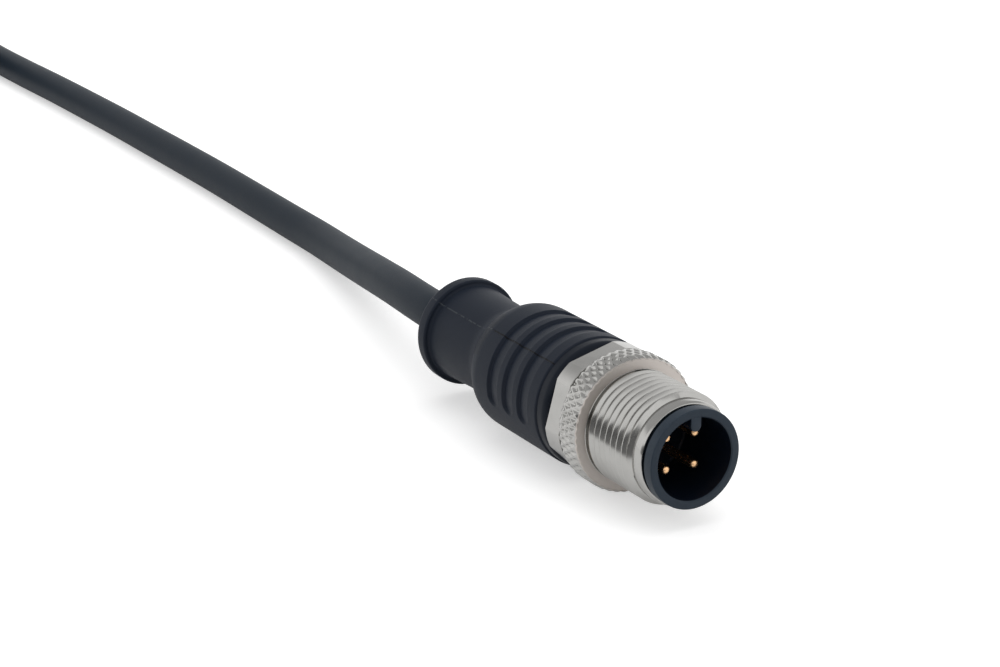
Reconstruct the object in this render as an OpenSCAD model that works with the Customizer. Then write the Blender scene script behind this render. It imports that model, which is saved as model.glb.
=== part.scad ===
// M12 circular connector, four-pole male cordset plug with a moulded grip,
// a rotating knurled coupling screw and a round cable that ends in four leads.
// Millimetres. The plug lies on its side: +X is the mating direction, the
// cable leaves along -X, and the coding rib is at the top (+Z). The origin is
// under the middle of the plug, on the surface that it lies on.

/* [Contact carrier] */
// Outer diameter of the collar at the mating face
collar_d = 10.4; // [10.1:0.05:10.7]
// Length of the collar in front of the coupling screw
collar_l = 1.2; // [0.8:0.1:2]
// Diameter of the round cavity that the mating socket enters
cavity_d = 8.6; // [8.4:0.05:8.9]
// Depth of the cavity from the mating face
cavity_depth = 8.2; // [7.5:0.1:9]
// Diameter of the carrier body that the screw turns on
carrier_d = 9.7; // [9.6:0.05:9.9]
// Diameter of the carrier's grooved end inside the inner mould
stub_d = 8.6; // [8.2:0.1:9.2]
// Length of that end
stub_l = 2.2; // [1.8:0.1:3]
// Width of the coding rib
key_w = 1.15; // [0.9:0.05:1.3]
// Height of the coding rib above the cavity wall
key_h = 1.4; // [1:0.05:1.5]
// Length of the coding rib
key_l = 6.5; // [4:0.1:7.4]

/* [Contact pins] */
// Diameter of a contact pin
pin_d = 1; // [0.9:0.05:1.1]
// Diameter of the circle that the pins stand on
pin_circle_d = 4.8; // [4.6:0.05:5]
// Distance of the pin tips behind the mating face
pin_recess = 2.4; // [1.5:0.1:4]
// Outer diameter of the solder cup behind a pin
cup_d = 1.5; // [1.4:0.05:1.7]
// Length of the solder cup part of a pin
cup_l = 5.2; // [4.8:0.1:6]

/* [Coupling screw] */
// Major diameter of the fastening thread
thread_d = 12; // [11.8:0.05:12.2]
// Length of the thread
thread_l = 7.1; // [6:0.1:9]
// Length of the smooth land in front of the thread
land_l = 1.45; // [1.2:0.05:2]
// Diameter of the land and of the relief behind the thread
land_d = 10.9; // [10.8:0.05:11]
// Width of the relief behind the thread
relief_l = 0.7; // [0.4:0.05:1]
// Outer diameter over the knurl
knurl_d = 14.7; // [14.5:0.1:15.5]
// Width of the knurled band
knurl_l = 3.2; // [2.4:0.8:5.6]
// Normal pitch of the diamond knurl
knurl_pitch = 0.8; // [0.6:0.1:1]
// Width across the flats of the hexagon
hex_af = 13.4; // [13:0.1:13.8]
// Diameter to which the corners of the hexagon are turned
hex_corner_d = 14.4; // [14.1:0.1:14.6]
// Length of the hexagon
hex_l = 2.6; // [2:0.05:4]

/* [Moulded body] */
// How far the inner mould's visible ring lies inside the grip's surface
ring_step = 0.15; // [0.05:0.05:0.3]
// Length of that ring
ring_l = 1.75; // [1.25:0.05:3]
// Diameter of the inner mould inside the grip
inner_d = 11; // [10:0.1:11.4]
// Diameter of the grip
grip_d = 14.2; // [14:0.1:14.6]
// Length of the cylindrical part of the grip
grip_l = 12.35; // [11.35:0.1:16]
// Length of the rounded shoulder behind the grip
shoulder_l = 5.3; // [5:0.1:7]
// Smallest diameter of the neck
neck_d = 10.3; // [9.6:0.1:11]
// Diameter of the neck where it meets the rear flange
neck_end_d = 10.9; // [10.4:0.1:11.4]
// Length of the whole plug, which sets how long the neck is
plug_l = 46.4; // [43:0.1:56]
// Diameter of the rear flange
flange_d = 12.2; // [11.8:0.1:13]
// Length of the rear flange
flange_l = 1.8; // [1.6:0.1:3]
// Width of a grip groove
groove_w = 1.95; // [1.2:0.05:2.2]
// Depth of a grip groove
groove_depth = 0.5; // [0.3:0.05:0.7]
// Distance between grooves
groove_pitch = 3.1; // [2.8:0.05:3.5]
// Number of grooves on each side of the grip
groove_count = 3; // [1:1:3]
// Distance of the first groove from the front edge of the grip
groove_start = 2.75; // [2:0.05:3]
// Angle that each groove covers
groove_angle = 106; // [60:2:112]
// Angle of the mould seam from the top, towards -Y
seam_angle = 44; // [0:1:60]

/* [Cable] */
// Outer diameter of the cable
cable_d = 4.7; // [4.5:0.1:5]
// Outer diameter of an insulated core
core_d = 1.3; // [1.2:0.05:1.35]
// Diameter of the bare conductor
strand_d = 0.8; // [0.7:0.05:0.9]
// Length of the jacket that the inner mould holds
jacket_hold_l = 1.7; // [1:0.1:2.5]

/* [Hidden] */
$fn = 96;

// Clearances
turn_gap = 0.08;      // radial, screw on carrier
collar_gap = 0.35;    // axial, screw behind the collar
ring_gap = 0.3;       // axial, screw in front of the inner mould
core_gap = 0.02;      // core pack in the jacket

// Stations, measured rearwards from the mating face
s_screw = collar_l + collar_gap;
s_thread = s_screw + land_l;
s_relief = s_thread + thread_l;
s_face = s_relief + relief_l;
s_hex = s_face + knurl_l;
s_screw_end = s_hex + hex_l;
s_ring = s_screw_end + ring_gap;
s_grip = s_ring + ring_l;
s_shoulder = s_grip + grip_l;
s_neck = s_shoulder + shoulder_l;
s_end = plug_l;
s_flange = s_end - flange_l;

screw_bore_d = carrier_d + 2 * turn_gap;

// The carrier's end, the pins' solder cups, the cores and the jacket follow
// one another inside the inner mould.
s_carrier_end = s_ring + stub_l;
cup_out_l = 1.2;      // solder cup behind the carrier
cup_depth = 2.2;
strip_l = 0.6;        // bare conductor between cup and insulation
core_straight_l = 0.6;
core_bend_l = 4.2;
s_pin_end = s_carrier_end + cup_out_l;
s_cup = s_pin_end - cup_l;
s_core = s_pin_end + strip_l;
s_jacket = s_core + core_straight_l + core_bend_l + 0.3;
s_inner_end = s_jacket + jacket_hold_l;
core_pack_r = (core_d / 2 + 0.01) * sqrt(2);
pin_angles = [45, 135, 225, 315];

// Height of the axis: the plug lies on its knurl, the widest part
axis_h = knurl_d / 2;
eps = 0.01;

// ---------------------------------------------------------------- placing

// Turns a shape built along Z (rearwards, X up) into the plug's place
module placed() {
  translate([s_end / 2, 0, axis_h]) rotate([0, -90, 0]) children();
}

// Solid of revolution from [radius, station] points
module turned(points) {
  rotate_extrude() polygon(points);
}

// Plain cylinder between two stations
module rod(d, s0, s1) {
  translate([0, 0, s0]) cylinder(d = d, h = s1 - s0);
}

// Puts a child on the pin circle
module at_pin(i) {
  rotate([0, 0, pin_angles[i]]) translate([pin_circle_d / 2, 0, 0]) children();
}

// Points of an arc about [r, s] from angle a0 to a1
function arc(c, rad, a0, a1, n) =
  [for (i = [0 : n]) let (t = a0 + (a1 - a0) * i / n)
    [c[0] + rad * cos(t), c[1] + rad * sin(t)]];

// --------------------------------------------------------- contact carrier

edge = 0.12;

module key_rib() {
  r_wall = cavity_d / 2 + 0.3;
  r_tip = cavity_d / 2 - key_h + key_w / 2;
  linear_extrude(key_l) {
    translate([r_tip, -key_w / 2]) square([r_wall - r_tip, key_w]);
    translate([r_tip, 0]) circle(d = key_w);
  }
}

// The grooved end that the inner mould locks on to
function stub_points() =
  let (r = stub_d / 2, g = r - 0.4, s = s_ring, third = stub_l / 3)
    [[r, s], [r, s + third], [g, s + third + 0.1],
     [g, s + 2 * third - 0.1], [r, s + 2 * third],
     [r, s_carrier_end], [0, s_carrier_end]];

module contact_carrier() {
  rc = collar_d / 2;
  rb = carrier_d / 2;
  color("#23262b") placed() {
    difference() {
      turned(concat(
        [[0, cavity_depth], [cavity_d / 2, cavity_depth],
         [cavity_d / 2, edge], [cavity_d / 2 + edge, 0], [rc - edge, 0],
         [rc, edge], [rc, collar_l], [rb, collar_l], [rb, s_ring]],
        stub_points()));
      for (i = [0 : 3]) at_pin(i) {
        rod(pin_d, cavity_depth - 1, s_cup + eps);
        rod(cup_d, s_cup, s_carrier_end + 1);
      }
    }
    key_rib();
  }
}

// -------------------------------------------------------------------- pins

module contact_pin(i) {
  tip = pin_d / 2;
  color("#c9964a") placed() at_pin(i) difference() {
    union() {
      translate([0, 0, pin_recess + tip]) sphere(r = tip);
      rod(pin_d, pin_recess + tip, s_cup + eps);
      rod(cup_d, s_cup, s_pin_end);
    }
    rod(strand_d, s_pin_end - cup_depth, s_pin_end + 1);
  }
}

// ---------------------------------------------------------- coupling screw

// Diamond knurl: two crossing sets of grooves at 30 degrees to the axis leave
// rows of pyramids, so each row's points alternate between peak and valley.
knurl_depth = 0.4 * knurl_pitch;
knurl_n = 2 * round(PI * knurl_d * cos(30) / knurl_pitch);
knurl_step = knurl_pitch / (2 * sin(30));
knurl_rows = floor((knurl_l - 0.6) / knurl_step + 0.001) + 1;
knurl_lead = (knurl_l - (knurl_rows - 1) * knurl_step) / 2;
knurl_root_r = knurl_d / 2 - knurl_depth;

// Stations of the rings of points: one at each edge and one on each row
knurl_s = concat([0],
  [for (k = [0 : knurl_rows - 1]) knurl_lead + k * knurl_step], [knurl_l]);

function knurl_r(k, m) =
  (k == 0 || k == knurl_rows + 1 || (m + k) % 2 == 0)
  ? knurl_root_r : knurl_d / 2;

module knurl_ring() {
  rings = knurl_rows + 2;
  r_in = (screw_bore_d + land_d) / 4;
  outer = [for (k = [0 : rings - 1]) for (m = [0 : knurl_n - 1])
    let (r = knurl_r(k, m), t = 360 * m / knurl_n)
      [r * cos(t), r * sin(t), s_face + knurl_s[k]]];
  inner = [for (k = [0, rings - 1]) for (m = [0 : knurl_n - 1])
    let (t = 360 * m / knurl_n)
      [r_in * cos(t), r_in * sin(t), s_face + knurl_s[k]]];
  base = rings * knurl_n;
  skin = [for (k = [0 : rings - 2]) for (m = [0 : knurl_n - 1])
    let (n = (m + 1) % knurl_n, a = k * knurl_n + m, b = k * knurl_n + n,
         c = (k + 1) * knurl_n + n, d = (k + 1) * knurl_n + m)
      each (m + k) % 2 == 0 ? [[a, c, b], [a, d, c]] : [[a, d, b], [b, d, c]]];
  wall = [for (m = [0 : knurl_n - 1])
    let (n = (m + 1) % knurl_n)
      [base + m, base + n, base + knurl_n + n, base + knurl_n + m]];
  front = [for (m = [0 : knurl_n - 1])
    let (n = (m + 1) % knurl_n) [m, n, base + n, base + m]];
  rear = [for (m = [0 : knurl_n - 1])
    let (n = (m + 1) % knurl_n, o = (rings - 1) * knurl_n)
      [o + m, base + knurl_n + m, base + knurl_n + n, o + n]];
  polyhedron(concat(outer, inner), concat(skin, wall, front, rear));
}

// Hexagon with turned corners
module hex_nut() {
  translate([0, 0, s_hex]) linear_extrude(hex_l) intersection() {
    circle(d = hex_corner_d);
    rotate(-45) circle(d = hex_af / cos(30), $fn = 6);
  }
}

module coupling_screw() {
  rl = land_d / 2;
  rt = thread_d / 2;
  rh = hex_af / 2 - 0.2;
  color("#b9b7b2") placed() difference() {
    union() {
      turned([
        [0, s_screw], [rl - 0.25, s_screw], [rl, s_screw + 0.2],
        [rl, s_thread - 0.1], [rt, s_thread + 0.15], [rt, s_relief - 0.2],
        [rl, s_relief + 0.15], [rl, s_hex - 0.5], [rh, s_hex - 0.5],
        [rh, s_hex + 0.5], [0, s_hex + 0.5]]);
      knurl_ring();
      hex_nut();
    }
    rod(screw_bore_d, s_screw - 1, s_screw_end + 1);
    turned([[0, s_screw_end - 0.5], [screw_bore_d / 2, s_screw_end - 0.5],
            [screw_bore_d / 2 + 0.6, s_screw_end + 0.1],
            [0, s_screw_end + 0.1]]);
  }
}

// ----------------------------------------------------- cable cores and ends

// Tube along a route with a ring of points on each route point. A ring lies
// square to the mean direction there, and its points are spread from "side".
function unit(v) = v / norm(v);
function heading(p, i) =
  unit(p[min(i + 1, len(p) - 1)] - p[max(i - 1, 0)]);
function ring_at(p, i, r, n, side) =
  let (t = heading(p, i), u = unit(cross(side, t)), v = cross(t, u))
    [for (k = [0 : n - 1])
      p[i] + r * (cos(360 * k / n) * u + sin(360 * k / n) * v)];

module tube(p, d, n, side = [0, 0, 1]) {
  m = len(p);
  pts = [for (i = [0 : m - 1]) each ring_at(p, i, d / 2, n, side)];
  walls = [for (i = [0 : m - 2]) for (k = [0 : n - 1])
    let (q = (k + 1) % n)
      each [[i * n + k, (i + 1) * n + q, i * n + q],
            [i * n + k, (i + 1) * n + k, (i + 1) * n + q]]];
  polyhedron(pts, concat(walls,
    [[for (k = [0 : n - 1]) k]],
    [[for (k = [n - 1 : -1 : 0]) (m - 1) * n + k]]));
}

// A core leaves its cup straight, closes in on the axis in a smooth bend and
// then runs on inside the jacket.
function core_route(i) =
  let (s0 = s_core + core_straight_l, a = pin_angles[i])
    concat([[pin_circle_d / 2, s_core]],
      [for (k = [0 : 6]) let (t = k / 6, e = t * t * (3 - 2 * t))
        [pin_circle_d / 2 + (core_pack_r - pin_circle_d / 2) * e,
         s0 + core_bend_l * t]],
      [[core_pack_r, s_end]]);

module core(i) {
  route = core_route(i);
  rotate([0, 0, pin_angles[i]])
    tube([for (q = route) [q[0], 0, q[1]]], core_d, 12, [0, 1, 0]);
}

module insulated_core(i, tint) { color(tint) placed() core(i); }

module conductor(i) {
  color("#b8743c") placed() at_pin(i)
    rod(strand_d, s_pin_end - cup_depth, s_core);
}

module cable_end() {
  bore_r = core_pack_r + core_d / 2 + core_gap;
  color("#2a2c30") placed() difference() {
    rod(cable_d, s_jacket, s_end);
    rod(2 * bore_r, s_jacket - 1, s_end + 1);
  }
}

// ------------------------------------------------------------- moulded body

// Inner mould: a ring with a rounded front edge and a grooved body that the
// grip is moulded over. It holds the carrier's end, the cores and the jacket.
module inner_mould() {
  rr = grip_d / 2 - ring_step;
  ri = inner_d / 2;
  round_r = 0.9;
  groove = 0.5;
  s_mid = (s_grip + s_inner_end) / 2;
  color("#1c1d20") placed() difference() {
    turned(concat(
      [[0, s_ring]],
      arc([rr - round_r, s_ring + round_r], round_r, -90, 0, 8),
      [[rr, s_grip], [ri, s_grip], [ri, s_mid - 1.2],
       [ri - groove, s_mid - 1], [ri - groove, s_mid + 1],
       [ri, s_mid + 1.2]], inner_end_points()));
    turned(concat([[0, s_ring - 1], [stub_d / 2, s_ring - 1]],
                  stub_points()));
    for (i = [0 : 3]) {
      at_pin(i) {
        rod(cup_d, s_carrier_end - 1, s_pin_end);
        rod(strand_d, s_pin_end - 1, s_core + eps);
      }
      core(i);
    }
    rod(cable_d, s_jacket, s_inner_end + 1);
  }
}

// Rear end of the inner mould, with its edge bevelled
function inner_end_points() =
  let (r = inner_d / 2)
    [[r, s_inner_end - 0.6], [r - 0.6, s_inner_end], [0, s_inner_end]];

// Grip outline: cylinder, a shoulder of two equal arcs, a neck that widens
// slightly, a fillet and the rounded rear flange.
module grip_outline() {
  rg = grip_d / 2;
  rn = neck_d / 2;
  re = neck_end_d / 2;
  rf = flange_d / 2;
  drop = rg - rn;
  bend_r = (pow(shoulder_l / 2, 2) + pow(drop / 2, 2)) / drop;
  bend_a = asin(shoulder_l / 2 / bend_r);
  fill_r = (rf - re) * 0.5;
  lip = (rf - re) * 0.4;
  rear_r = 0.5;
  front_r = 0.25;
  polygon(concat(
    [[0, s_grip]],
    arc([rg - front_r, s_grip + front_r], front_r, -90, 0, 4),
    arc([rg - bend_r, s_shoulder], bend_r, 0, bend_a, 8),
    arc([rn + bend_r, s_neck], bend_r, 180 + bend_a, 180, 8),
    arc([re + fill_r, s_flange - fill_r], fill_r, 180, 90, 4),
    arc([rf - lip, s_flange + lip], lip, -90, 0, 5),
    arc([rf - rear_r, s_end - rear_r], rear_r, 0, 90, 6),
    [[0, s_end]]));
}

// Grooves milled round the grip on each side of the seam, as by a ball cutter:
// a length of torus with a ball at each end.
module grip_grooves() {
  cut_r = (pow(groove_w / 2, 2) + pow(groove_depth, 2)) / (2 * groove_depth);
  path_r = grip_d / 2 - groove_depth + cut_r;
  for (g = [0 : groove_count - 1]) for (flip = [0, 180])
    translate([0, 0, s_grip + groove_start + g * groove_pitch])
      rotate([0, 0, flip - seam_angle - groove_angle / 2]) {
        rotate_extrude(angle = groove_angle)
          translate([path_r, 0]) circle(r = cut_r, $fn = 32);
        for (e = [0, groove_angle]) rotate([0, 0, e])
          translate([path_r, 0, 0]) sphere(r = cut_r - 0.02, $fn = 32);
      }
}

module overmould() {
  color("#2b2e33") placed() difference() {
    rotate_extrude() grip_outline();
    grip_grooves();
    turned(concat([[0, s_grip - 1], [inner_d / 2, s_grip - 1]],
                  inner_end_points()));
    rod(cable_d, s_inner_end - 1, s_end + 1);
  }
}

// --------------------------------------------------------------- free cable

// The cable sags from the plug to the surface, runs along it and is folded up.
lie_z = cable_d / 2 + 0.05;
x_exit = -s_end / 2;
run_route = [
  [x_exit, 0, axis_h], [x_exit - 6, 0, axis_h], [-36, 0.8, 7],
  [-42, 1.8, 6.5], [-51, 3.6, 5.4], [-60, 5.5, 4.2], [-69, 7.2, 3.2],
  [-78, 8.4, 2.6], [-88, 8.9, lie_z], [-100, 9.2, lie_z],
  [-113, 9.5, lie_z], [-126, 9.6, lie_z], [-139, 9.6, lie_z],
  [-152, 9.6, lie_z], [-166, 9.4, lie_z], [-180, 9.1, lie_z],
  [-194, 8.6, lie_z], [-208, 8.4, lie_z], [-223, 9.2, lie_z]];

// Hank: two straight runs joined by round folds, wound two turns wide and
// three high. Its outer turn takes the cable at y = 9.6.
hank_run = 70;
hank_x = -272;
hank_h = 14.2;
fold_r = 14.1;
hank_y = 9.6 - fold_r - cable_d;

module cable_run() { color("#2a2c30") tube(run_route, cable_d, 12); }

function hank_outline(r) = concat(
  arc([hank_run / 2, 0], r, -90, 90, 16), arc([-hank_run / 2, 0], r, 90, 270, 16));

module cable_coil() {
  color("#2a2c30") translate([hank_x, hank_y, 0]) linear_extrude(hank_h)
    difference() {
      polygon(hank_outline(fold_r + 1.5 * cable_d));
      polygon(hank_outline(fold_r - cable_d / 2));
    }
}

// The last turn lies on top of the hank and ends in the stripped leads
tail_z = hank_h + cable_d / 2 + 0.05;
tail_end = 3.5;
tail_line = concat(
  [for (x = [10, 22]) [x, -fold_r]], arc([hank_run / 2, 0], fold_r, -90, 90, 8),
  [for (x = [24, 14, tail_end]) [x, fold_r]]);
tail_route = [for (q = tail_line) [hank_x + q[0], hank_y + q[1], tail_z]];

module cable_tail() { color("#2a2c30") tube(tail_route, cable_d, 12); }

// The leads leave the jacket as a square pack, sink to the hank and fan out
lead_l = 30;
lead_z = hank_h + core_d / 2 + 0.05;
lead_from = [[-1, -1], [-1, 1], [1, 1], [1, -1]] * (core_d / 2 + 0.03);
lead_to = [-2, 0.9, 3.8, 6.6];
function lead_route(k) =
  [for (j = [0 : 7])
    let (t = j / 7, spread = 1 - pow(1 - t, 3), sink = t * t * (3 - 2 * t))
      [hank_x + tail_end - lead_l * t,
       hank_y + fold_r + lead_from[k][0] * (1 - spread) + lead_to[k] * spread,
       (tail_z + lead_from[k][1]) * (1 - sink) + lead_z * sink]];

module lead(k, tint) { color(tint) tube(lead_route(k), core_d, 8); }

// -------------------------------------------------------------------- nodes

brown = "#6b4226";
white = "#e8e6e0";
blue = "#2d5fa8";
black = "#1b1b1d";

contact_carrier();
contact_pin(0);  // pin_1
contact_pin(1);  // pin_2
contact_pin(2);  // pin_3
contact_pin(3);  // pin_4
coupling_screw();
inner_mould();
overmould();
insulated_core(0, brown);  // core_brown
insulated_core(1, white);  // core_white
insulated_core(2, blue);  // core_blue
insulated_core(3, black);  // core_black
conductor(0);  // conductor_brown
conductor(1);  // conductor_white
conductor(2);  // conductor_blue
conductor(3);  // conductor_black
cable_end();
cable_run();
cable_coil();
cable_tail();
lead(0, brown);  // lead_brown
lead(1, white);  // lead_white
lead(2, blue);  // lead_blue
lead(3, black);  // lead_black
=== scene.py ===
import math

import bpy
from mathutils import Matrix, Vector


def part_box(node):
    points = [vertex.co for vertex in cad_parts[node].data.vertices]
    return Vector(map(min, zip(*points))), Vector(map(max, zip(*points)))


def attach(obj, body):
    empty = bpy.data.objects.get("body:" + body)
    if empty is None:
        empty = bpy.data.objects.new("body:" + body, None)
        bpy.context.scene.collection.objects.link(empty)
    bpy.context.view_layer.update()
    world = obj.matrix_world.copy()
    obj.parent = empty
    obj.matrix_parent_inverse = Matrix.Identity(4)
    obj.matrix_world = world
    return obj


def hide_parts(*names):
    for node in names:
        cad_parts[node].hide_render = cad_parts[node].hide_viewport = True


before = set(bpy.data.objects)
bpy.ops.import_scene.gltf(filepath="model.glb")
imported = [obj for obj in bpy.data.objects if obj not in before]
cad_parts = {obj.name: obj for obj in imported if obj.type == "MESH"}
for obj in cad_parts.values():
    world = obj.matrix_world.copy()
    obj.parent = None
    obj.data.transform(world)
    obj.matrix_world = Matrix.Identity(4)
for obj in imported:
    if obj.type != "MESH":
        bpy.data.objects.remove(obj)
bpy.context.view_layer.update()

# ---------------------------------------------------------------- the view
# A long lens looks down at the plug's mating face from its front left side.
# The plug lies on its knurl, so its axis is at half the screw's height.
MM = 0.001
screw_low, screw_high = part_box("coupling_screw")
front_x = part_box("contact_carrier")[1].x
rear_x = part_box("overmould")[0].x
axis_z = (screw_low.z + screw_high.z) / 2

ahead, aside, above = 187.3, -129.5, 89.71
looking = Vector((-0.82154, 0.47166, -0.32032))
camera_data = bpy.data.cameras.new("camera")
camera_data.lens = 90
camera_data.sensor_width = 36
camera_data.clip_start = 0.01
camera_data.clip_end = 20
camera = bpy.data.objects.new("camera", camera_data)
camera.location = (front_x + ahead * MM, aside * MM, axis_z + above * MM)
camera.rotation_euler = looking.to_track_quat("-Z", "Y").to_euler()
bpy.context.scene.collection.objects.link(camera)
bpy.context.scene.camera = camera
bpy.context.scene.view_settings.view_transform = "Standard"


# --------------------------------------------------------------- the cable
# Four-core cable with a satin black polyurethane jacket, 4.7 mm thick. It
# leaves the grip along its axis, sinks to the surface, runs on nearly straight
# and is folded into a hank, with its stripped end on top.
cable_d = 4.7
cable_r = cable_d / 2 * MM
lie_z = 2.4
hank_low, hank_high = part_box("cable_coil")
hank_x = (hank_low.x + hank_high.x) / 2 / MM
hank_y = (hank_low.y + hank_high.y) / 2 / MM
hank_run, fold_r = 70, 14.1
run_knots, fold_knots = 7, 8
tail_quarters = 20.45
run_mm = [
    (rear_x / MM + 2, 0, 7.35), (rear_x / MM - 3, 0, 7.35),
    (rear_x / MM - 6, 0.05, 7.34), (-32.5, 0.35, 7.2), (-36, 0.8, 7),
    (-42, 1.8, 6.5), (-51, 3.6, 5.4), (-60, 5.5, 4.2), (-69, 7.2, 3.2),
    (-78, 8.4, 2.6), (-88, 8.9, lie_z), (-100, 9.2, lie_z), (-113, 9.5, lie_z),
    (-126, 9.6, lie_z), (-139, 9.6, lie_z), (-152, 9.6, lie_z),
    (-166, 9.4, lie_z), (-180, 9.1, lie_z), (-194, 8.6, lie_z),
    (-208, 8.4, lie_z), (-216, 8.7, lie_z), (-223, 9.2, lie_z),
    (-230, 9.5, lie_z),
]


def eased(value, low, high):
    t = min(1, max(0, (value - low) / (high - low)))
    return t * t * (3 - 2 * t)


# Where the cable changes its lane or layer in the hank, counted in quarter
# turns: a straight run and a fold are one quarter each. It starts in the outer
# lane, and each change takes half a quarter.
inwards = ((2.5, 1), (8.5, -1), (14.5, 1))
upwards = (6, 12, 18)
change = 0.5


def hank_point(quarters):
    """Centre of the cable after so many quarters of a turn."""
    radius = fold_r + cable_d
    for start, side in inwards:
        radius -= side * cable_d * eased(quarters, start, start + change)
    height = lie_z + sum(cable_d * eased(quarters, start, start + change)
                         for start in upwards)
    part = quarters % 4
    side = 1 if part < 2 else -1
    if part % 2 < 1:
        across = side * (hank_run / 2 - hank_run * (part % 2))
        return (hank_x + across, hank_y + side * radius, height)
    a = math.radians(90 * side + 180 * (part % 2 - 1))
    return (hank_x - side * hank_run / 2 + radius * math.cos(a),
            hank_y + radius * math.sin(a), height)


knots = []
for quarter in range(21):
    steps = fold_knots if quarter % 2 else run_knots
    knots += [quarter + k / steps for k in range(steps)]
knots = [q for q in knots if q < tail_quarters - 0.03] + [tail_quarters]
cable_mm = run_mm + [hank_point(q) for q in knots]


def curve_tube(name, points, radius, rings):
    """A round tube along the points, in millimetres, on one smooth curve."""
    data = bpy.data.curves.new(name, "CURVE")
    data.dimensions = "3D"
    data.bevel_depth = radius
    data.bevel_resolution = rings
    data.resolution_u = 6
    data.use_fill_caps = True
    spline = data.splines.new("BEZIER")
    spline.bezier_points.add(len(points) - 1)
    for knot, point in zip(spline.bezier_points, points):
        knot.co = Vector(point) * MM
        knot.handle_left_type = knot.handle_right_type = "AUTO"
    tube = bpy.data.objects.new(name, data)
    bpy.context.scene.collection.objects.link(tube)
    return tube


class Value:
    """One output of a node; arithmetic on it adds the nodes it needs."""

    def __init__(self, nodes, socket):
        self.nodes, self.socket = nodes, socket

    def maths(self, operation, *others):
        return self.nodes.node("ShaderNodeMath", {"operation": operation},
                                dict(enumerate((self,) + others)))

    def __add__(self, other):
        return self.maths("ADD", other)

    def __mul__(self, other):
        return self.maths("MULTIPLY", other)

    def __sub__(self, other):
        return self.maths("SUBTRACT", other)

    def __rsub__(self, other):
        return (self * -1) + other

    __radd__, __rmul__ = __add__, __mul__

    def within(self, low, high, to_low=0.0, to_high=1.0):
        """Smooth step of this value from one range to another."""
        return self.nodes.node(
            "ShaderNodeMapRange", {"interpolation_type": "SMOOTHSTEP"},
            {0: self, 1: low, 2: high, 3: to_low, 4: to_high})


class Nodes:
    """Adds nodes to a tree: kind, settings, and inputs as values or links."""

    def __init__(self, tree):
        self.tree = tree

    def node(self, kind, settings=None, inputs=None, out=0):
        made = self.tree.nodes.new(kind)
        for key, value in (settings or {}).items():
            setattr(made, key, value)
        for key, value in (inputs or {}).items():
            if isinstance(value, Value):
                self.tree.links.new(value.socket, made.inputs[key])
            else:
                made.inputs[key].default_value = value
        return Value(self, made.outputs[out])


class Finish(Nodes):
    """A material with one Principled shader and patterns in object space."""

    def __init__(self, name, color, roughness, metallic=0.0, **constants):
        self.material = bpy.data.materials.new(name)
        self.material.use_nodes = True
        super().__init__(self.material.node_tree)
        self.shader = self.tree.nodes["Principled BSDF"]
        self.set("Base Color", (*color, 1))
        self.set("Roughness", roughness)
        self.set("Metallic", metallic)
        for socket, value in constants.items():
            self.set(socket.replace("_", " "), value)

    def set(self, name, value):
        socket = self.shader.inputs[name]
        if isinstance(value, Value):
            self.tree.links.new(value.socket, socket)
        else:
            socket.default_value = value

    def place(self):
        """Place on the piece, in millimetres."""
        spot = self.node("ShaderNodeTexCoord", out="Object")
        return self.node("ShaderNodeVectorMath", {"operation": "SCALE"},
                         {0: spot, "Scale": 1 / MM})

    def axis(self, index, spot):
        """One coordinate of a place: 0 is x, 1 is y, 2 is z."""
        return self.node("ShaderNodeSeparateXYZ", {}, {0: spot}, index)

    def from_axis(self, spot):
        """Distance from the plug's axis, in millimetres."""
        across = self.node("ShaderNodeVectorMath", {"operation": "MULTIPLY_ADD"},
                           {0: spot, 1: (0, 1, 1), 2: (0, 0, -axis_z / MM)})
        return self.length(across)

    def length(self, spot):
        return self.node("ShaderNodeVectorMath", {"operation": "LENGTH"}, {0: spot}, 1)

    def stretched(self, scale):
        return self.node("ShaderNodeVectorMath", {"operation": "MULTIPLY"},
                         {0: self.place(), 1: scale})

    def noise(self, scale, detail, spot=None):
        return self.node("ShaderNodeTexNoise", {},
                         {"Vector": spot or self.place(), "Scale": scale,
                          "Detail": detail, "Roughness": 0.55})

    def blend(self, share, first, second):
        """Mixes two colours; each is a tuple or another blend."""
        first, second = ((*color, 1) if isinstance(color, tuple) else color
                         for color in (first, second))
        return self.node("ShaderNodeMix", {"data_type": "RGBA"},
                         {0: share, 6: first, 7: second}, 2)

    def bumped(self, height, depth_mm, strength):
        self.set("Normal", self.node("ShaderNodeBump", {},
                 {"Strength": strength, "Distance": depth_mm * MM, "Height": height}))

    def on(self, piece):
        piece.data.materials.clear()
        piece.data.materials.append(self.material)


cable = curve_tube("cable", cable_mm, cable_r, 10)

jacket_finish = Finish("jacket", (0.011, 0.018, 0.027), 0.5, Specular_IOR_Level=0.12)
cloud = jacket_finish.noise(0.35, 4)
grain = jacket_finish.noise(5, 3)
jacket_finish.set("Base Color", jacket_finish.blend(
    cloud, (0.009, 0.015, 0.023), (0.014, 0.022, 0.033)))
jacket_finish.set("Roughness", cloud * 0.1 + grain * 0.06 + 0.42)
jacket_finish.bumped(grain * 2 + cloud * 2, 0.012, 0.5)
jacket_finish.on(cable)


# The four cores of the stripped end, 30 mm long, fan out on top of the hank.
# Each is stranded copper in coloured insulation, bare for its last 5 mm.
core_r, strands_r = 0.65, 0.4
lead_length = 30
tail_x, tail_y, tail_z = hank_point(tail_quarters)
lead_z = hank_high.z / MM + core_r + 0.05
lead_from = ((-0.68, -0.68), (-0.68, 0.68), (0.68, 0.68), (0.68, -0.68))
lead_to = (-2, 0.9, 3.8, 6.6)
lead_colors = {"brown": (0.13, 0.055, 0.025), "white": (0.74, 0.73, 0.7),
               "blue": (0.02, 0.09, 0.36), "black": (0.012, 0.012, 0.013)}


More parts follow.
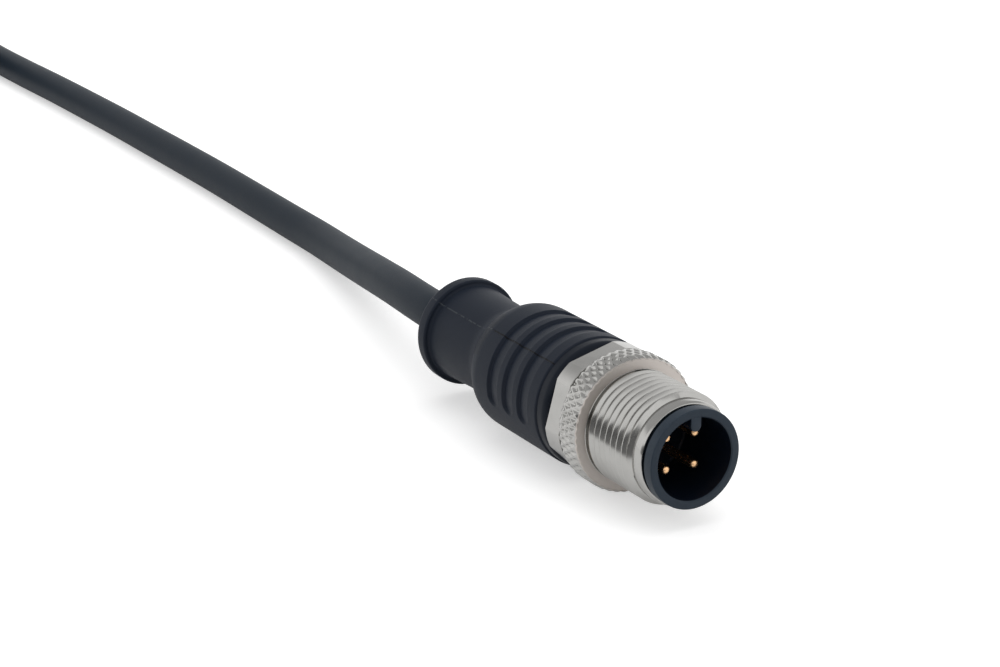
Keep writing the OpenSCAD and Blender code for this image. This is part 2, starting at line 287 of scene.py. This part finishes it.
def lead_point(lead, share):
    """Centre of a lead at a share of its length, from the jacket's end."""
    side, up = lead_from[lead]
    spread = 1 - (1 - share) ** 3
    sink = eased(share, 0, 1)
    return (tail_x - lead_length * share,
            tail_y + side * (1 - spread) + lead_to[lead] * spread,
            (tail_z + up) * (1 - sink) + lead_z * sink)


def as_mesh(piece):
    """Turns a curve into a mesh."""
    bpy.ops.object.select_all(action="DESELECT")
    piece.select_set(True)
    bpy.context.view_layer.objects.active = piece
    bpy.ops.object.convert(target="MESH")
    return bpy.context.object


copper_finish = Finish("copper", (0.72, 0.36, 0.19), 0.32, 1.0)
twist = copper_finish.noise(3, 3, copper_finish.stretched((0.6, 6, 6)))
copper_finish.set("Roughness", twist * 0.2 + 0.22)
copper_finish.bumped(twist, 0.05, 0.7)
core_finishes = {}
leads = []
for number, (tint, color) in enumerate(lead_colors.items()):
    finish = Finish("core_" + tint, color, 0.45)
    mottle = finish.noise(2.5, 3)
    finish.set("Roughness", mottle * 0.15 + 0.36)
    finish.set("Base Color", finish.blend(mottle, tuple(c * 0.85 for c in color), color))
    core_finishes[tint] = finish
    covered = [lead_point(number, i / 12) for i in range(11)]
    lead = as_mesh(curve_tube(f"lead_{tint}_insulation", covered, core_r * MM, 6))
    stripped = [lead_point(number, i / 24) for i in range(19, 25)]
    bare = as_mesh(curve_tube(f"lead_{tint}_strands", stripped, strands_r * MM, 5))
    finish.on(lead)
    copper_finish.on(bare)
    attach(lead, "plug")
    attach(bare, "plug")
    "core_" + tint
    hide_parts("lead_" + tint)
    leads += [lead, bare]


# A black plastic-covered wire tie holds one straight run of the hank: a flat
# band, two lanes wide and three high, with its ends twisted and laid flat.
tie_x, tie_y = hank_x - 33, hank_y + fold_r + cable_d / 2
tie_wide, tie_long, tie_wall, tie_bend = 2.8, 2 * cable_d + 0.5, 0.25, 2.3
tie_low, tie_top = 0.02, hank_high.z / MM + 0.2
twist_from = (tie_x + 1, tie_y + 2, tie_top + 0.8)
twist_turn, twist_step, twist_r, end_r = 0.7, 0.5, 0.42, 0.38


def primitive(add, name, scale=(1, 1, 1), **settings):
    """Adds a primitive, alone selected, with its place kept in its mesh."""
    bpy.ops.object.select_all(action="DESELECT")
    add(**settings)
    piece = bpy.context.object
    piece.name, piece.scale = name, scale
    bpy.ops.object.transform_apply(location=True, rotation=True, scale=True)
    return piece


def edit_where(piece, kind, chosen):
    """Enters edit mode with only the chosen points, edges or faces selected."""
    bpy.ops.object.mode_set(mode="EDIT")
    bpy.ops.mesh.select_mode(type=kind)
    bpy.ops.mesh.select_all(action="DESELECT")
    bpy.ops.object.mode_set(mode="OBJECT")
    elements = {"VERT": "vertices", "EDGE": "edges", "FACE": "polygons"}[kind]
    for element in getattr(piece.data, elements):
        element.select = chosen(element)
    bpy.ops.object.mode_set(mode="EDIT")


def modified(piece, kind, **settings):
    """Adds one modifier to a piece, set as given, and applies it."""
    bpy.context.view_layer.objects.active = piece
    modifier = piece.modifiers.new(kind.lower(), kind)
    for name, value in settings.items():
        setattr(modifier, name, value)
    bpy.ops.object.modifier_apply(modifier=modifier.name)


def joined(name, parts):
    """Joins several pieces into the first one."""
    bpy.ops.object.select_all(action="DESELECT")
    for part in parts:
        part.select_set(True)
    bpy.context.view_layer.objects.active = parts[0]
    bpy.ops.object.join()
    parts[0].name = name
    return parts[0]


tie = primitive(
    bpy.ops.mesh.primitive_cube_add, "tie", (tie_wide, tie_long, tie_top - tie_low),
    size=1 * MM, location=(tie_x * MM, tie_y * MM, (tie_top + tie_low) / 2 * MM))


def at_corner(edge):
    """Whether an edge runs across the band, where the band goes round a corner."""
    first, second = (tie.data.vertices[i].co for i in edge.vertices)
    return abs(first.x - second.x) > 1 * MM


edit_where(tie, "FACE", lambda face: abs(face.normal.x) > 0.9)
bpy.ops.mesh.delete(type="ONLY_FACE")
bpy.ops.object.mode_set(mode="OBJECT")
edit_where(tie, "EDGE", at_corner)
bpy.ops.mesh.bevel(offset=tie_bend * MM, segments=8, affect="EDGES")
bpy.ops.mesh.select_mode(type="VERT")
bpy.ops.object.mode_set(mode="OBJECT")
modified(tie, "SOLIDIFY", thickness=tie_wall * MM, offset=-1)
ends = []
for turn in (0, math.pi):
    twist = [(twist_from[0] - twist_step * k,
              twist_from[1] + twist_r * math.cos(turn + k * twist_turn),
              twist_from[2] + twist_r * math.sin(turn + k * twist_turn))
             for k in range(22)]
    ends.append(as_mesh(curve_tube("end", twist, end_r * MM, 3)))
tie = joined("tie", [tie] + ends)
bpy.ops.object.shade_smooth_by_angle(angle=math.radians(40))
tie_finish = Finish("tie", (0.02, 0.02, 0.022), 0.5)
ribbing = tie_finish.noise(5, 2)
tie_finish.set("Roughness", ribbing * 0.2 + 0.35)
tie_finish.bumped(ribbing, 0.03, 0.5)
tie_finish.on(tie)
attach(tie, "plug")

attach(cable, "plug")
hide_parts("cable_run", "cable_coil", "cable_tail")


# ----------------------------------------------------- the contact carrier
# Dark glass-filled nylon moulding that holds the pins. Its collar stands ahead
# of the screw, and the coding rib runs down inside the cavity at the top.
cavity_r, body_r, collar_r = 4.3, 4.85, 5.2
rib_r, rib_depth, rib_back_r, rib_long, rib_middle = 0.575, 1.4, 4.6, 6.5, 3.27


def place_x(station):
    """Where a station is, counted in millimetres rearwards from the front."""
    return front_x - station * MM


def turned(name, outline, sides):
    """Turns an outline of (station, radius) points in millimetres, round the
    plug's axis: one point is extruded along it, and the line is spun."""
    bpy.ops.object.select_all(action="DESELECT")
    station, radius = outline[0]
    bpy.ops.mesh.primitive_plane_add(
        size=1 * MM, location=(place_x(station), 0, axis_z + radius * MM))
    piece = bpy.context.object
    piece.name = name
    bpy.ops.object.transform_apply(location=True, rotation=True, scale=True)
    bpy.ops.object.mode_set(mode="EDIT")
    bpy.ops.mesh.select_mode(type="VERT")
    bpy.ops.mesh.select_all(action="SELECT")
    bpy.ops.mesh.merge(type="CENTER")
    for (s0, r0), (s1, r1) in zip(outline, outline[1:]):
        bpy.ops.mesh.extrude_region_move(
            TRANSFORM_OT_translate={"value": ((s0 - s1) * MM, 0, (r1 - r0) * MM)})
    bpy.ops.mesh.select_all(action="SELECT")
    bpy.ops.mesh.spin(steps=sides, angle=2 * math.pi,
                      center=(0, 0, axis_z), axis=(1, 0, 0))
    bpy.ops.mesh.select_all(action="SELECT")
    bpy.ops.mesh.remove_doubles(threshold=0.001 * MM)
    bpy.ops.mesh.normals_make_consistent(inside=False)
    bpy.ops.object.mode_set(mode="OBJECT")
    bpy.ops.object.shade_smooth_by_angle(angle=math.radians(32))
    return piece


def arc(station, radius, bend, start, end, steps=6):
    """Points of a rounded edge; 0 degrees is rearwards, 90 is outwards."""
    return [(station + bend * math.cos(math.radians(start + (end - start) * i / steps)),
             radius + bend * math.sin(math.radians(start + (end - start) * i / steps)))
            for i in range(steps + 1)]


carrier_line = [(0, 4.42)] + arc(0.1, 5.1, 0.1, 180, 90, 4)
carrier_line += [(1.2, collar_r), (1.2, body_r), (16.9, body_r), (16.9, cavity_r)]
carrier_line += [(19.1, cavity_r), (19.1, 0), (8.2, 0), (8.2, 4.15)]
carrier_line += [(8.05, cavity_r), (0.12, cavity_r), (0, 4.42)]
carrier = turned("carrier", carrier_line, 144)

# the rib: a round bar along the cavity's top, its upper half pressed flat
# where it runs into the wall
rib_centre = axis_z + (cavity_r - rib_depth + rib_r) * MM
rib = primitive(
    bpy.ops.mesh.primitive_cylinder_add, "rib", vertices=48, radius=rib_r * MM,
    depth=rib_long * MM, rotation=(0, math.pi / 2, 0),
    location=(place_x(rib_middle), 0, rib_centre))
edit_where(rib, "VERT", lambda vertex: vertex.co.z > rib_centre + 0.01 * MM)
bpy.ops.transform.resize(value=(1, 1, 0),
                         center_override=(0, 0, axis_z + rib_back_r * MM))
bpy.ops.object.mode_set(mode="OBJECT")
modified(rib, "BEVEL", width=0.06 * MM, segments=2, limit_method="ANGLE",
         angle_limit=math.radians(60))
bpy.ops.object.shade_smooth_by_angle(angle=math.radians(40))

carrier = joined("carrier", [carrier, rib])
carrier_finish = Finish("carrier", (0.014, 0.024, 0.036), 0.42, Specular_IOR_Level=0.22)
grain = carrier_finish.noise(9, 3)
carrier_finish.set("Roughness", grain * 0.12 + 0.34)
spot = carrier_finish.place()
station = front_x / MM - carrier_finish.axis(0, spot)
# painted shade: inside the cavity the moulding gets a much darker colour than its front
# ring, standing in for the shade in there
cavity_shade = (carrier_finish.from_axis(spot).within(cavity_r, cavity_r + 0.04, 1.0, 0.0)
          * station.within(0.1, 0.16))
cloud = carrier_finish.noise(1.2, 3)
tone = carrier_finish.blend(cloud, (0.02, 0.031, 0.046), (0.028, 0.042, 0.06))
carrier_finish.set("Base Color", carrier_finish.blend(cavity_shade, tone, (0.003, 0.006, 0.013)))
carrier_finish.bumped(grain, 0.012, 0.5)
carrier_finish.on(carrier)
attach(carrier, "plug")
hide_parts("contact_carrier")


# --------------------------------------------------------- the contact pins
# Four turned brass pins, gold-plated, with rounded tips. They are pressed into
# the carrier on a 4.8 mm circle, a quarter turn apart, each side of the rib.
pin_r, foot_r, cup_r, circle_r = 0.5, 0.75, 0.4, 2.4
gold_finish = Finish("gold", (0.8, 0.44, 0.17), 0.22, 1.0)
smear = gold_finish.noise(2.2, 3, gold_finish.stretched((0.5, 2, 2)))
gold_finish.set("Roughness", smear * 0.14 + 0.2)
gold_finish.set("Base Color", gold_finish.blend(
    smear, (0.86, 0.5, 0.25), (1.0, 0.66, 0.38)))
gold_finish.bumped(smear, 0.002, 0.3)
tip = [(2.4, 0), (2.405, 0.1), (2.42, 0.2), (2.45, 0.3), (2.5, 0.38),
       (2.57, 0.44), (2.67, 0.48), (2.8, pin_r)]
shaft = [(15.1, pin_r), (15.1, foot_r), (20.3, foot_r), (20.3, cup_r), (18.1, cup_r),
         (18.1, 0)]
pins = [turned("contact_1", tip + shaft, 32)]
gold_finish.on(pins[0])
for number in (2, 3, 4):
    pin = pins[0].copy()
    pin.data = pins[0].data.copy()
    pin.name = f"contact_{number}"
    bpy.context.scene.collection.objects.link(pin)
    pins.append(pin)
for number, pin in enumerate(pins):
    a = math.radians(45 + 90 * number)
    pin.data.transform(Matrix.Translation(
        (0, circle_r * MM * math.sin(a), circle_r * MM * math.cos(a))))
    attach(pin, "plug")
    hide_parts(f"pin_{number + 1}")


# ------------------------------------------------------- the coupling screw
# Turned brass, nickel-plated: a smooth land, an M12x1 thread up to a shoulder,
# a diamond knurl, and a hexagon whose corners are turned down. It turns freely
# on the carrier, behind its collar.
s_screw, s_thread, s_relief, s_face = 1.55, 3.0, 10.1, 10.8
s_hex, s_screw_end = 14.0, 16.6
bore_r, land_r, thread_r, minor_r = 4.93, 5.45, 6.0, 5.3
root_r, knurl_r, back_r = 7.03, 7.35, 6.6

sleeve_line = [(s_screw + 0.12, bore_r), (s_screw, bore_r + 0.1), (s_screw, 5.22)]
sleeve_line += [(s_screw + 0.03, 5.3), (s_screw + 0.2, 5.42), (s_screw + 0.28, land_r)]
sleeve_line += [(s_thread, land_r), (s_thread + 0.12, minor_r)]
sleeve_line += [(s_relief - 0.1, minor_r), (s_relief, land_r), (s_face - 0.16, land_r)]
sleeve_line += [(s_face - 0.08, land_r + 0.04), (s_face - 0.06, land_r + 0.1)]
sleeve_line += [(s_face - 0.06, thread_r - 0.04), (s_face - 0.02, thread_r)]
sleeve_line += [(s_face, thread_r), (s_face + 0.1, root_r), (s_face + 0.16, root_r - 0.12)]
sleeve_line += [(s_hex, root_r - 0.12), (s_hex + 0.02, back_r)]
sleeve_line += [(s_screw_end - 0.02, back_r), (s_screw_end, bore_r + 0.5)]
sleeve_line += [(s_screw_end - 0.5, bore_r), (s_screw + 0.12, bore_r)]
sleeve = turned("sleeve", sleeve_line, 192)

# the thread: one pitch of its V, wound up with a Screw modifier, cut off at
# both ends, and chamfered where it starts and where it meets the shoulder; its
# last turns run over the sleeve's relief
pitch, turns = 1.0, 10
crest_station = 0.34
chamfer_r, chamfer_slope = 5.36, 1.9
vee = [(0.0, 5.99), (0.05, 6.0), (0.09, 5.96), (0.38, 5.44), (0.44, 5.4), (0.5, 5.39),
       (0.56, 5.4), (0.62, 5.44), (0.91, 5.96), (0.95, 6.0), (1.0, 5.99)]
bpy.ops.object.select_all(action="DESELECT")
bpy.ops.mesh.primitive_plane_add(size=1 * MM, location=(0, 0, 0))
thread = bpy.context.object
thread.name = "thread"
bpy.ops.object.mode_set(mode="EDIT")
bpy.ops.mesh.select_all(action="SELECT")
bpy.ops.mesh.merge(type="CENTER")
bpy.ops.transform.translate(value=(0, 0, vee[0][1] * MM))
for (u0, r0), (u1, r1) in zip(vee, vee[1:]):
    bpy.ops.mesh.extrude_region_move(
        TRANSFORM_OT_translate={"value": (-(u1 - u0) * MM, 0, (r1 - r0) * MM)})
bpy.ops.object.mode_set(mode="OBJECT")
modified(thread, "SCREW", axis="X", angle=2 * math.pi, screw_offset=pitch * MM,
         iterations=turns, steps=120, render_steps=120, use_merge_vertices=True,
         merge_threshold=0.001 * MM)
thread.location = (place_x(crest_station + turns * pitch), 0, axis_z)
bpy.ops.object.transform_apply(location=True, rotation=True, scale=True)
bpy.ops.object.mode_set(mode="EDIT")
for station, side in ((s_thread - 0.15, 1), (s_face - 0.1, -1)):
    bpy.ops.mesh.select_all(action="SELECT")
    bpy.ops.mesh.bisect(plane_co=(place_x(station), 0, 0), plane_no=(side, 0, 0),
                        clear_outer=True)
bpy.ops.mesh.select_all(action="SELECT")
bpy.ops.mesh.remove_doubles(threshold=0.0005 * MM)
bpy.ops.object.mode_set(mode="OBJECT")
for vertex in thread.data.vertices:
    station = (front_x - vertex.co.x) / MM
    radius = math.hypot(vertex.co.y, vertex.co.z - axis_z) / MM
    most = min(thread_r, chamfer_r + (station - (s_thread - 0.12)) * chamfer_slope,
               chamfer_r + (s_face - 0.1 - station) * chamfer_slope)
    if radius > most:
        k = most / radius
        vertex.co.y *= k
        vertex.co.z = axis_z + (vertex.co.z - axis_z) * k
bpy.ops.object.shade_smooth_by_angle(angle=math.radians(25))

# the knurl: rings of a hundred points, every other point pulled outwards, so
# that ridges cross between small pits
knurl_count = 100
knurl_rows = [s_face + 0.1] + [s_face + 0.5 + 0.78 * k for k in range(4)] + [s_hex]
knurl = primitive(
    bpy.ops.mesh.primitive_circle_add, "knurl", vertices=knurl_count, radius=root_r * MM,
    rotation=(0, math.pi / 2, 0), location=(place_x(knurl_rows[0]), 0, axis_z))
bpy.ops.object.mode_set(mode="EDIT")
bpy.ops.mesh.select_all(action="SELECT")
for s0, s1 in zip(knurl_rows, knurl_rows[1:]):
    bpy.ops.mesh.extrude_region_move(
        TRANSFORM_OT_translate={"value": ((s0 - s1) * MM, 0, 0)})
bpy.ops.mesh.extrude_region_move(TRANSFORM_OT_translate={"value": (0, 0, 0)})
bpy.ops.transform.resize(value=(1, 0.9, 0.9), center_override=(place_x(s_hex), 0, axis_z))
bpy.ops.object.mode_set(mode="OBJECT")


def knurl_point(vertex):
    """Whether a point is one of those pulled outwards, between the two edges."""
    station = (front_x - vertex.co.x) / MM
    turn = math.degrees(math.atan2(vertex.co.y, vertex.co.z - axis_z))
    step = round(turn * knurl_count / 360) % knurl_count
    row = [k for k, s in enumerate(knurl_rows) if abs(s - station) < 0.01]
    return bool(row) and 0 < row[0] < len(knurl_rows) - 1 and (step + row[0]) % 2 == 1


edit_where(knurl, "VERT", knurl_point)
outwards = knurl_r / root_r
bpy.ops.transform.resize(value=(1, outwards, outwards), center_override=(0, 0, axis_z))
bpy.ops.mesh.select_all(action="SELECT")
bpy.ops.mesh.quads_convert_to_tris(quad_method="LONGEST_DIAGONAL")
bpy.ops.mesh.normals_make_consistent(inside=False)
bpy.ops.object.mode_set(mode="OBJECT")
modified(knurl, "BEVEL", width=0.085 * MM, segments=1, limit_method="ANGLE",
         angle_limit=math.radians(15))
bpy.ops.object.shade_smooth_by_angle(angle=math.radians(20))

# the hexagon: a six-sided prism, its corners turned down to a cylinder
flat_r, corner_r, hex_turn = 6.7, 7.2, 45
hex_x = place_x((s_hex + s_screw_end) / 2)
hexagon = primitive(
    bpy.ops.mesh.primitive_cylinder_add, "hexagon", vertices=6,
    radius=flat_r / math.cos(math.radians(30)) * MM, depth=(s_screw_end - s_hex) * MM,
    location=(hex_x, 0, axis_z), rotation=(0, math.pi / 2, 0))
corner = max(hexagon.data.vertices, key=lambda v: v.co.z)
corner_turn = math.degrees(math.atan2(corner.co.y, corner.co.z - axis_z))
bpy.ops.object.mode_set(mode="EDIT")
bpy.ops.mesh.select_all(action="SELECT")
bpy.ops.transform.rotate(value=-math.radians(corner_turn + hex_turn), orient_axis="X",
                         center_override=(hex_x, 0, axis_z))
bpy.ops.object.mode_set(mode="OBJECT")
turning = primitive(
    bpy.ops.mesh.primitive_cylinder_add, "turning", vertices=192, radius=corner_r * MM,
    depth=10 * MM, location=(hex_x, 0, axis_z), rotation=(0, math.pi / 2, 0))
modified(hexagon, "BOOLEAN", operation="INTERSECT", solver="EXACT", object=turning)
bpy.data.objects.remove(turning)
modified(hexagon, "BEVEL", width=0.06 * MM, segments=2, limit_method="ANGLE",
         angle_limit=math.radians(15))
bpy.ops.object.select_all(action="DESELECT")
hexagon.select_set(True)
bpy.ops.object.shade_smooth_by_angle(angle=math.radians(12))

screw = joined("screw", [sleeve, thread, knurl, hexagon])
nickel = Finish("nickel", (0.45, 0.445, 0.43), 0.2, 1.0)
spot = nickel.place()
rings = nickel.node("ShaderNodeCombineXYZ", {},
                    {0: nickel.axis(0, spot), 1: nickel.from_axis(spot)})
lathe_marks = nickel.noise(11, 3, rings)
stain = nickel.noise(0.7, 4)
station = front_x / MM - nickel.axis(0, spot)
# painted highlight: the shoulder's turned face gets a lighter colour than the rest of the
# nickel, standing in for the light it catches; it is also made rougher
shoulder_sheen = (station.within(s_face - 0.02, s_face)
            * station.within(s_face + 0.12, s_face + 0.2, 1.0, 0.0)
            * nickel.from_axis(spot).within(thread_r - 0.05, thread_r + 0.05))
tone = nickel.blend(stain, (0.405, 0.4, 0.385), (0.485, 0.48, 0.465))
nickel.set("Base Color", nickel.blend(shoulder_sheen, tone, (0.6, 0.555, 0.52)))
nickel.set("Roughness", lathe_marks * 0.1 + stain * 0.05 + shoulder_sheen * 0.33 + 0.08)
nickel.bumped(lathe_marks, 0.001, 0.5)
nickel.on(screw)
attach(screw, "screw")
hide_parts("coupling_screw")


# ----------------------------------------------------------- the inner mould
# Hard black moulding behind the screw, with a satin surface. Only its ring
# shows, rounded at the front; the rest holds the carrier, the cores and the
# jacket.
s_ring, s_grip, s_shoulder, s_neck, s_flange, s_end = 16.9, 18.65, 31.0, 36.3, 44.6, 46.4
s_mould_end, jacket_r, ring_round = 27.7, 2.35, 0.9
ring_line = [(s_ring, cavity_r), (s_ring, 6.0)]
ring_line += arc(s_ring + ring_round, 6.05, ring_round, 180, 90, 10)
ring_line += [(s_grip, 6.95), (s_grip + 0.02, 5.5), (27.1, 5.5), (s_mould_end, 4.9)]
ring_line += [(s_mould_end, jacket_r), (26.0, jacket_r), (26.0, 3.3), (19.1, 3.3)]
ring_line += [(19.1, cavity_r), (s_ring, cavity_r)]
ring = turned("inner_mould_ring", ring_line, 160)
ring_finish = Finish("inner_mould", (0.007, 0.0105, 0.018), 0.3, Specular_IOR_Level=0.14)
grain = ring_finish.noise(3, 3)
ring_finish.set("Roughness", grain * 0.12 + 0.26)
ring_finish.bumped(grain, 0.004, 0.4)
ring_finish.on(ring)
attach(ring, "plug")
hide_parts("inner_mould")


# ------------------------------------------------------------------ the grip
# Satin black polyurethane moulded over the inner mould. Three grooves on each
# side, with rounded ends, give the fingers hold, and the mould's parting line
# crosses them. It narrows to a neck and ends in a flange round the cable.
seam_turn = -44
groove_stations = (21.4, 24.5, 27.6)
groove_width, groove_depth, groove_edge = 2.1, 0.36, (-0.04, 0.12)
groove_up, groove_down = 63, 54
grip_r, neck_r, neck_end_r, flange_r = 7.1, 5.15, 5.45, 6.1
bend_long, front_round, rim_round, end_round = 5.3, 0.25, 0.26, 0.5
drop = grip_r - neck_r
bend = ((bend_long / 2) ** 2 + (drop / 2) ** 2) / drop
sweep = math.degrees(math.asin(bend_long / 2 / bend))
grip_line = [(s_grip, 5.5)]
grip_line += arc(s_grip + front_round, grip_r - front_round, front_round, 180, 90, 5)
grip_line += [(s_grip + front_round + 0.09 * i, grip_r) for i in range(1, 116)]
grip_line += arc(s_shoulder, grip_r - bend, bend, 90, 90 - sweep, 14)
grip_line += arc(s_neck, neck_r + bend, bend, 270 - sweep, 270, 14)[1:]
grip_line += [(s_neck + 0.8 * i, neck_r + 0.03 * i) for i in range(1, 10)]
grip_line += arc(s_flange - 0.33, neck_end_r + 0.33, 0.33, 270, 360, 6)
grip_line += arc(s_flange + rim_round, flange_r - rim_round, rim_round, 180, 90, 6)
grip_line += arc(s_end - end_round, flange_r - end_round, end_round, 90, 0, 8)
grip_line += [(s_end, jacket_r), (s_mould_end, jacket_r), (s_mould_end, 4.9)]
grip_line += [(27.1, 5.5), (s_grip, 5.5)]
grip = turned("grip", grip_line, 320)
for vertex in grip.data.vertices:
    station = (front_x - vertex.co.x) / MM
    up = vertex.co.z - axis_z
    radius = math.hypot(vertex.co.y, up) / MM
    if radius < grip_r - 0.05 or station > s_shoulder:
        continue
    turn = math.degrees(math.atan2(vertex.co.y, up)) - seam_turn
    turn = (turn + 90) % 180 - 90
    past_end = max(0, turn - groove_up, -turn - groove_down) * math.pi / 180 * grip_r
    depth = 0
    for groove in groove_stations:
        inside = groove_width / 2 - math.hypot(station - groove, past_end)
        wall = eased(inside, *groove_edge)
        ramp = min(1, max(0, (station - groove) / groove_width + 0.5))
        depth += groove_depth * wall * ramp
    k = 1 - depth / radius
    vertex.co.y *= k
    vertex.co.z = axis_z + up * k
grip.data.update()

grip_finish = Finish("grip", (0.008, 0.01, 0.016), 0.5, Specular_IOR_Level=0.16)
grain = grip_finish.noise(6, 3)
cloud = grip_finish.noise(0.5, 3)
spot = grip_finish.place()
across = math.radians(seam_turn)
station = front_x / MM - grip_finish.axis(0, spot)
side_mm = grip_finish.axis(1, spot)
up_mm = grip_finish.axis(2, spot) - axis_z / MM
off_seam = side_mm * math.cos(across) - up_mm * math.sin(across)
wander = grip_finish.noise(1.1, 3) * 0.12 - 0.06
line = (off_seam + wander).maths("ABSOLUTE").within(0.03, 0.1, 1.0, 0.0)
on_neck = station.within(s_shoulder - 0.4, s_shoulder + 0.4)
broken = grip_finish.noise(1.7, 2).within(0.42, 0.55)
flash = line * on_neck * broken
split = line * (1 - on_neck)
over_seam = side_mm * math.sin(across) + up_mm * math.cos(across)
# painted shade: a darker patch where the grip's shoulder bends into the neck, on one side
# of the seam, standing in for the shade in that hollow
fillet_shade = (off_seam.within(-3.2, -2.9) * off_seam.within(2.1, 2.4, 1.0, 0.0)
         * station.within(31.3, 31.5) * station.within(34.2, 34.4, 1.0, 0.0)
         * over_seam.within(0, 0.5))
tone = grip_finish.blend(cloud, (0.008, 0.0125, 0.022), (0.0125, 0.0175, 0.029))
tone = grip_finish.blend(fillet_shade * 0.6, tone, (0.004, 0.007, 0.013))
tone = grip_finish.blend(split, tone, (0.001, 0.001, 0.002))
grip_finish.set("Base Color", grip_finish.blend(flash, tone, (0.045, 0.053, 0.062)))
grip_finish.set("Roughness", grain * 0.1 + cloud * 0.08 + 0.42)
grip_finish.bumped(grain * 0.6 + flash * 2 - split * 3, 0.03, 0.6)
grip_finish.on(grip)
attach(grip, "plug")
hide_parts("overmould")


# ---------------------------------------------------- inside the moulded body
# The cores, their bare conductors and the jacket's end are sealed in the
# mould. They keep their plain shapes.
for tint, finish in core_finishes.items():
    finish.on(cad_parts["core_" + tint])
    copper_finish.on(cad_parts["conductor_" + tint])
jacket_finish.on(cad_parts["cable_end"])


# --------------------------------------------------- the surface and the light
# A pale table under soft lamps. In reflections it glows a little, except in a patch ahead
# of the plug, which is painted dark for reflections only.
bpy.ops.object.select_all(action="DESELECT")
bpy.ops.mesh.primitive_plane_add(size=6, location=(0, 0, 0))
table = bpy.context.object
table.name = "table"
table_finish = Finish("table", (0.8, 0.8, 0.8), 0.9, Specular_IOR_Level=0.0,
                      Emission_Strength=1.0)
table_shine = 0.25


def rays(nodes):
    """Whether the camera sees the surface, and whether a reflection does."""
    return (nodes.node("ShaderNodeLightPath", out="Is Camera Ray"),
            nodes.node("ShaderNodeLightPath", out="Is Glossy Ray")
            + nodes.node("ShaderNodeLightPath", out="Is Transmission Ray"))


camera_ray, mirror_ray = rays(table_finish)
spot = table_finish.place()
# painted reflection: seen in reflections, a patch of the table ahead of the plug is dark
# and doesn't glow
reflected_dark_patch = (table_finish.axis(0, spot).within(front_x / MM + 14, front_x / MM + 20)
          * table_finish.axis(1, spot).within(2, 6, 1.0, 0.0))
far = table_finish.length(spot)
glow = (camera_ray * far.within(500, 1500, 0.5, 1.0)
        + mirror_ray * (1 - reflected_dark_patch) * table_shine)
table_finish.set("Base Color", table_finish.blend(
    mirror_ray * reflected_dark_patch, (0.8, 0.8, 0.8), (0.22, 0.22, 0.22)))
table_finish.set("Emission Color", table_finish.node(
    "ShaderNodeCombineXYZ", {}, {0: glow, 1: glow, 2: glow}))
table_finish.on(table)


def softbox(name, place, size, power):
    """A soft lamp aimed at the plug, which doesn't show in reflections."""
    data = bpy.data.lights.new(name, "AREA")
    data.shape = "RECTANGLE"
    data.size, data.size_y = size
    data.energy = power
    lamp = bpy.data.objects.new(name, data)
    lamp.location = place
    lamp.visible_glossy = False
    aim = -Vector(place)
    lamp.rotation_euler = aim.to_track_quat("-Z", "Y").to_euler()
    bpy.context.scene.collection.objects.link(lamp)


softbox("over", (-0.15, 0.15, 0.9), (1.2, 1.2), 4.5)
softbox("left", (-0.45, -0.75, 0.55), (0.6, 0.5), 0.9)
softbox("right", (0.75, 0.35, 0.5), (0.5, 0.6), 0.9)

# the room: a white backdrop all round where it is seen; in reflections it is darker low
# down in front; its own light comes from above
world = bpy.data.worlds.new("studio")
bpy.context.scene.world = world
world.use_nodes = True
room = Nodes(world.node_tree)
toward = room.node("ShaderNodeTexCoord")
forward, sideward, upward = (
    room.node("ShaderNodeSeparateXYZ", {}, {0: toward}, k) for k in range(3))
camera_ray, mirror_ray = rays(room)
lit = upward.within(0.08, 0.42, 0.03, 0.55)
low = (upward.within(0.15, 0.21, 1.0, 0.0) * forward.within(-0.3, 0.3)
       * sideward.within(-0.3, -0.05, 1.0, 0.0))
high = (upward - forward.within(-0.3, 0.3) * 0.2).within(0.38, 0.56, 1.12, 0.55)
mirrored = high * ((1 - low) * 0.86 + 0.14)
strength = camera_ray + (1 - camera_ray) * (mirror_ray * mirrored + (1 - mirror_ray) * lit)
background = room.tree.nodes["Background"]
background.inputs["Color"].default_value = (1, 1, 1, 1)
room.tree.links.new(strength.socket, background.inputs["Strength"])
